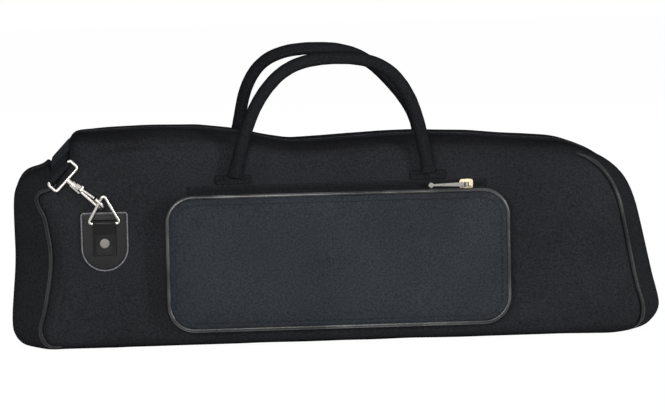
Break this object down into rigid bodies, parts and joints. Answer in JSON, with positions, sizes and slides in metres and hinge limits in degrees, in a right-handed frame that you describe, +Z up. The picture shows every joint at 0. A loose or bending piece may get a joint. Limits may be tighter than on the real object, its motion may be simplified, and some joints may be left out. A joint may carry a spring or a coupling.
{
  "type": "soft trumpet case",
  "caption": "Padded soft case for a trumpet: two hinged halves with a zip round them, a piped outer pocket, tube handles and a shoulder strap on swivel hooks.",
  "frame": {"origin": "middle of the base, under the split between the two halves", "axes": "+X to the case's right, -Y to its front with the pocket, +Z up from the base"},
  "size_m": [0.5857, 0.1777, 0.2582],
  "materials": {
    "nylon": "woven 600-denier polyester, matt",
    "vinyl_piping": "soft vinyl bead",
    "zip_tape": "woven zip tape with coil",
    "zip_metal": "pale gold die-cast",
    "nickel": "bright nickel wire",
    "leatherette": "smooth black leatherette, stitched edge",
    "webbing": "woven webbing",
    "buckle_plastic": "moulded slide",
    "lining": "brushed lining over foam",
    "board": "stiff board"
  },
  "bodies": {
    "rear_half": {"rear_panel": "nylon", "rear_gusset": "nylon", "rear_left_piping": "vinyl_piping", "rear_right_piping": "vinyl_piping", "rear_zip_tape": "zip_tape", "rear_lining": "lining", "hinge_strip": "nylon", "base_stiffener": "board", "keeper_strap": "webbing", "rear_handle_anchors": "nylon", "rear_tab": "leatherette", "rear_tab_loop": "leatherette", "rear_rivet": "nickel", "shoulder_strap": "webbing", "strap_adjuster": "buckle_plastic", "rear_hook_eye": "nickel"},
    "front_half": {"front_panel": "nylon", "front_gusset": "nylon", "front_left_piping": "vinyl_piping", "front_right_piping": "vinyl_piping", "front_zip_tape": "zip_tape", "front_lining": "lining", "front_handle_anchors": "nylon", "front_tab": "leatherette", "front_tab_loop": "leatherette", "front_rivet": "nickel", "pocket_zip": "zip_tape", "strap_front": "webbing", "front_hook_eye": "nickel"},
    "pocket": {"pocket_panel": "nylon", "pocket_gusset": "nylon", "pocket_piping": "vinyl_piping"},
    "front_handle": {"front_handle": "nylon"},
    "rear_handle": {"rear_handle": "nylon"},
    "pocket_slider": {"pocket_slider": "zip_metal"},
    "pocket_puller": {"pocket_puller": "zip_metal"},
    "main_slider": {"main_slider": "zip_metal"},
    "main_puller": {"main_puller": "zip_metal"},
    "front_ring": {"front_ring": "nickel"},
    "rear_ring": {"rear_ring": "nickel"},
    "front_hook": {"front_hook": "nickel"},
    "front_gate": {"front_gate": "nickel"},
    "rear_hook": {"rear_hook": "nickel"},
    "rear_gate": {"rear_gate": "nickel"}
  },
  "joints": [
    {"name": "case_opening", "type": "hinge", "parent": "rear_half", "child": "front_half", "pos_m": [0, 0, 0], "axis": [1, 0, 0], "range_deg": [0, 170]},
    {"name": "pocket_mouth", "type": "hinge", "parent": "front_half", "child": "pocket", "pos_m": [0, -0.0713, 0.019], "axis": [1, 0, 0], "range_deg": [0, 12]},
    {"name": "front_handle_swing", "type": "hinge", "parent": "front_half", "child": "front_handle", "pos_m": [0, -0.0795, 0.154], "axis": [1, 0, 0], "range_deg": [-5, 85]},
    {"name": "rear_handle_swing", "type": "hinge", "parent": "rear_half", "child": "rear_handle", "pos_m": [0, 0.0795, 0.154], "axis": [-1, 0, 0], "range_deg": [-5, 85]},
    {"name": "pocket_zip_slide", "type": "slide", "parent": "front_half", "child": "pocket_slider", "axis": [-1, 0, 0], "range_m": [0, 0.235]},
    {"name": "pocket_puller_flip", "type": "hinge", "parent": "pocket_slider", "child": "pocket_puller", "pos_m": [0.119, -0.0771, 0.1428], "axis": [0, 0, 1], "range_deg": [0, 170]},
    {"name": "main_zip_slide", "type": "slide", "parent": "rear_half", "child": "main_slider", "axis": [-0.2163, 0, 0.9763], "range_m": [0, 0.066]},
    {"name": "main_puller_flip", "type": "hinge", "parent": "main_slider", "child": "main_puller", "pos_m": [0.28981, 0, 0.04606], "axis": [0, -1, 0], "range_deg": [0, 170]},
    {"name": "front_ring_rock", "type": "hinge", "parent": "front_half", "child": "front_ring", "pos_m": [-0.20739, -0.0762, 0.1165], "axis": [1, 0, 0], "range_deg": [-1.5, 1.5]},
    {"name": "rear_ring_rock", "type": "hinge", "parent": "rear_half", "child": "rear_ring", "pos_m": [0.208, 0.0762, 0.092], "axis": [0, 0, -1], "range_deg": [-1.5, 1.5]},
    {"name": "front_hook_swivel", "type": "hinge", "parent": "front_half", "child": "front_hook", "pos_m": [-0.23267, -0.07479, 0.15042], "axis": [0.7311, 0, -0.6823], "range_deg": [-4, 4]},
    {"name": "rear_hook_swivel", "type": "hinge", "parent": "rear_half", "child": "rear_hook", "pos_m": [0.15935, 0.07519, 0.092], "axis": [1, 0, 0], "range_deg": [-4, 4]},
    {"name": "front_gate_press", "type": "hinge", "parent": "front_hook", "child": "front_gate", "pos_m": [-0.22706, -0.07978, 0.14837], "axis": [-0.6184, -0.4226, -0.6626], "range_deg": [-16, 0], "stiffness_Nm_per_rad": 0.02},
    {"name": "rear_gate_press", "type": "hinge", "parent": "rear_hook", "child": "rear_gate", "pos_m": [0.16485, 0.08069, 0.092], "axis": [0, 0, 1], "range_deg": [-16, 0], "stiffness_Nm_per_rad": 0.02}
  ]
}
